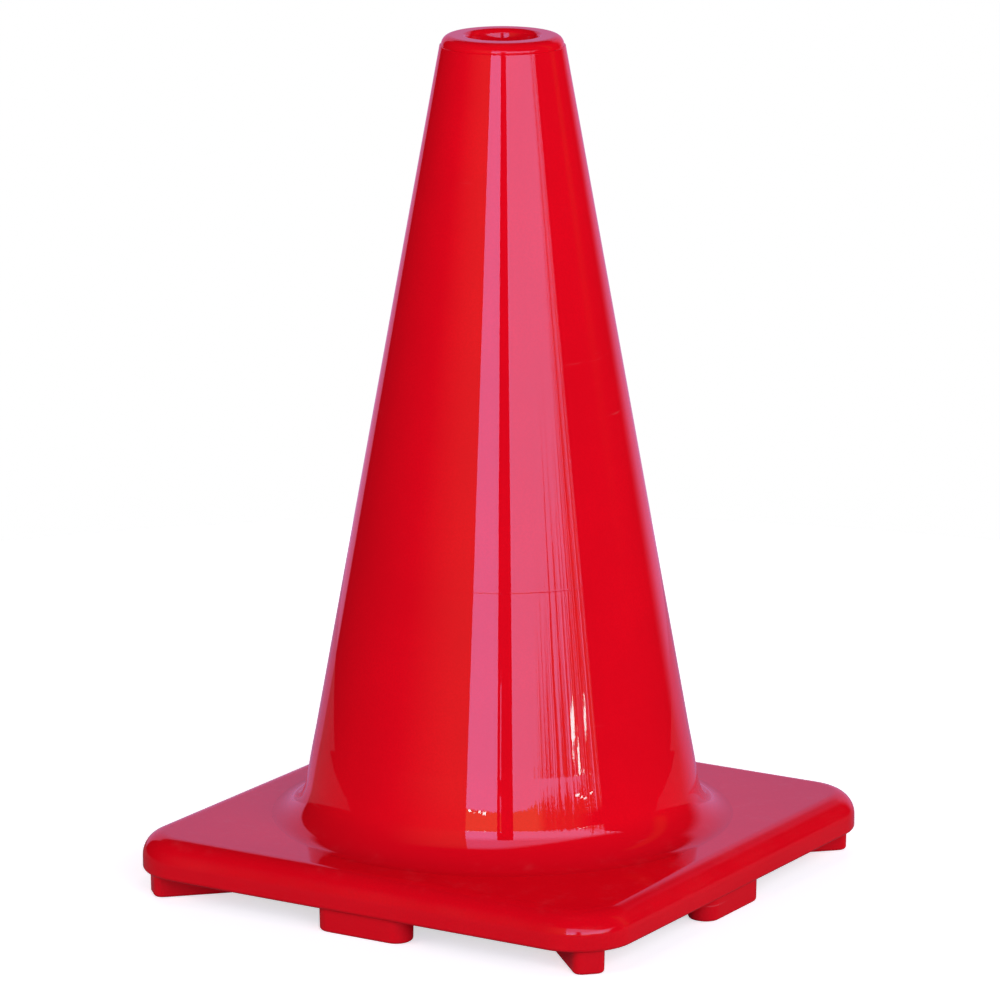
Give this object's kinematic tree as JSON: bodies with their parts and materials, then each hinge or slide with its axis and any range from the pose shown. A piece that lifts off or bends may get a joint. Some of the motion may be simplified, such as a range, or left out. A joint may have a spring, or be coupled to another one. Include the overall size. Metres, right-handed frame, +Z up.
{
  "type": "traffic cone",
  "caption": "Hollow tapered road cone with a rounded lip round its open top, on a square base with rounded edges and moulded feet.",
  "frame": {"origin": "on the ground, under the middle of the base", "axes": "+Z up along the cone's axis, +X and +Y square to the sides of the base"},
  "size_m": [0.293, 0.293, 0.45],
  "materials": {
    "cone_pvc": "glossy soft PVC",
    "base_pvc": "glossy soft PVC",
    "foot_pvc": "satin soft PVC"
  },
  "bodies": {
    "root": {"cone_shell": "cone_pvc", "base_slab": "base_pvc", "foot_corner_front": "foot_pvc", "foot_corner_right": "foot_pvc", "foot_corner_back": "foot_pvc", "foot_corner_left": "foot_pvc", "foot_side_front": "foot_pvc", "foot_side_right": "foot_pvc", "foot_side_back": "foot_pvc", "foot_side_left": "foot_pvc"}
  },
  "joints": []
}
